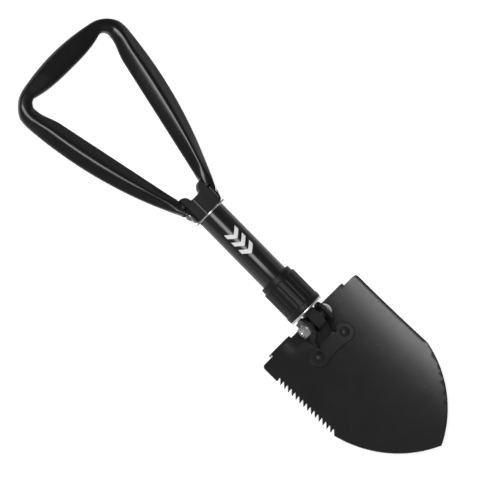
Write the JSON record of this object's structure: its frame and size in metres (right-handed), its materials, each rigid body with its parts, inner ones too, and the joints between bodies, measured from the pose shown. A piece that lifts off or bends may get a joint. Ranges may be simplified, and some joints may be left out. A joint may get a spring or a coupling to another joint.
{
  "type": "folding camp shovel",
  "caption": "Compact folding camp shovel: triangular D-handle and dished pointed blade with a saw edge, each hinged to a short tube shaft with a screw locking collar.",
  "frame": {"origin": "centre of the bounding box's bottom, under the boot treads' lowest edge", "axes": "+Y from the blade's point to the grip, +Z out of the blade's open side, +X away from the saw teeth"},
  "size_m": [0.123, 0.4642, 0.0483],
  "materials": {
    "handle_paint": "semi-gloss black powder coat",
    "shaft_paint": "semi-gloss black powder coat",
    "blade_paint": "satin fine-texture black powder coat",
    "black_oxide": "satin black oxide steel",
    "dark_steel": "plain oiled steel",
    "bright_steel": "zinc plated",
    "collar_plastic": "moulded glass-filled nylon"
  },
  "bodies": {
    "shaft": {"shaft_tube": "shaft_paint", "head_block": "black_oxide", "stem_plug": "dark_steel", "latch_spring": "dark_steel", "thread_sleeve": "dark_steel", "hinge_tongue": "black_oxide", "tongue_pin": "dark_steel"},
    "handle": {"d_handle": "handle_paint", "handle_pivot_rivet": "dark_steel", "pivot_washers": "bright_steel"},
    "latch": {"latch_plate": "bright_steel"},
    "ring": {"thrust_ring": "bright_steel"},
    "collar": {"lock_collar": "collar_plastic", "collar_nut": "dark_steel"},
    "blade": {"blade": "blade_paint", "hinge_bracket": "black_oxide", "bracket_rivets": "black_oxide", "hinge_bolt": "bright_steel", "hinge_nut": "bright_steel", "hinge_washers": "bright_steel", "hinge_spacers": "black_oxide"}
  },
  "joints": [
    {"name": "handle_fold", "type": "hinge", "parent": "shaft", "child": "handle", "pos_m": [0, 0.05325, 0.03122], "axis": [1, 0, 0], "range_deg": [0, 180]},
    {"name": "blade_fold", "type": "hinge", "parent": "shaft", "child": "blade", "pos_m": [0, -0.08295, 0.03122], "axis": [-1, 0, 0], "range_deg": [0, 166]},
    {"name": "latch_slide", "type": "slide", "parent": "shaft", "child": "latch", "axis": [0, -1, 0], "range_m": [0, 0.001], "stiffness_N_per_m": 1500, "springref_m": -0.003, "deforming": ["latch_spring"]},
    {"name": "collar_travel", "type": "slide", "parent": "shaft", "child": "ring", "axis": [0, 1, 0], "range_m": [0, 0.0054]},
    {"name": "collar_spin", "type": "hinge", "parent": "ring", "child": "collar", "pos_m": [0, -0.06, 0.03122], "axis": [0, 1, 0], "range_deg": [0, 540]}
  ],
  "couplings": [
    {"joint": "collar_travel", "follows": "collar_spin", "m_per_rad": 0.00057295}
  ]
}
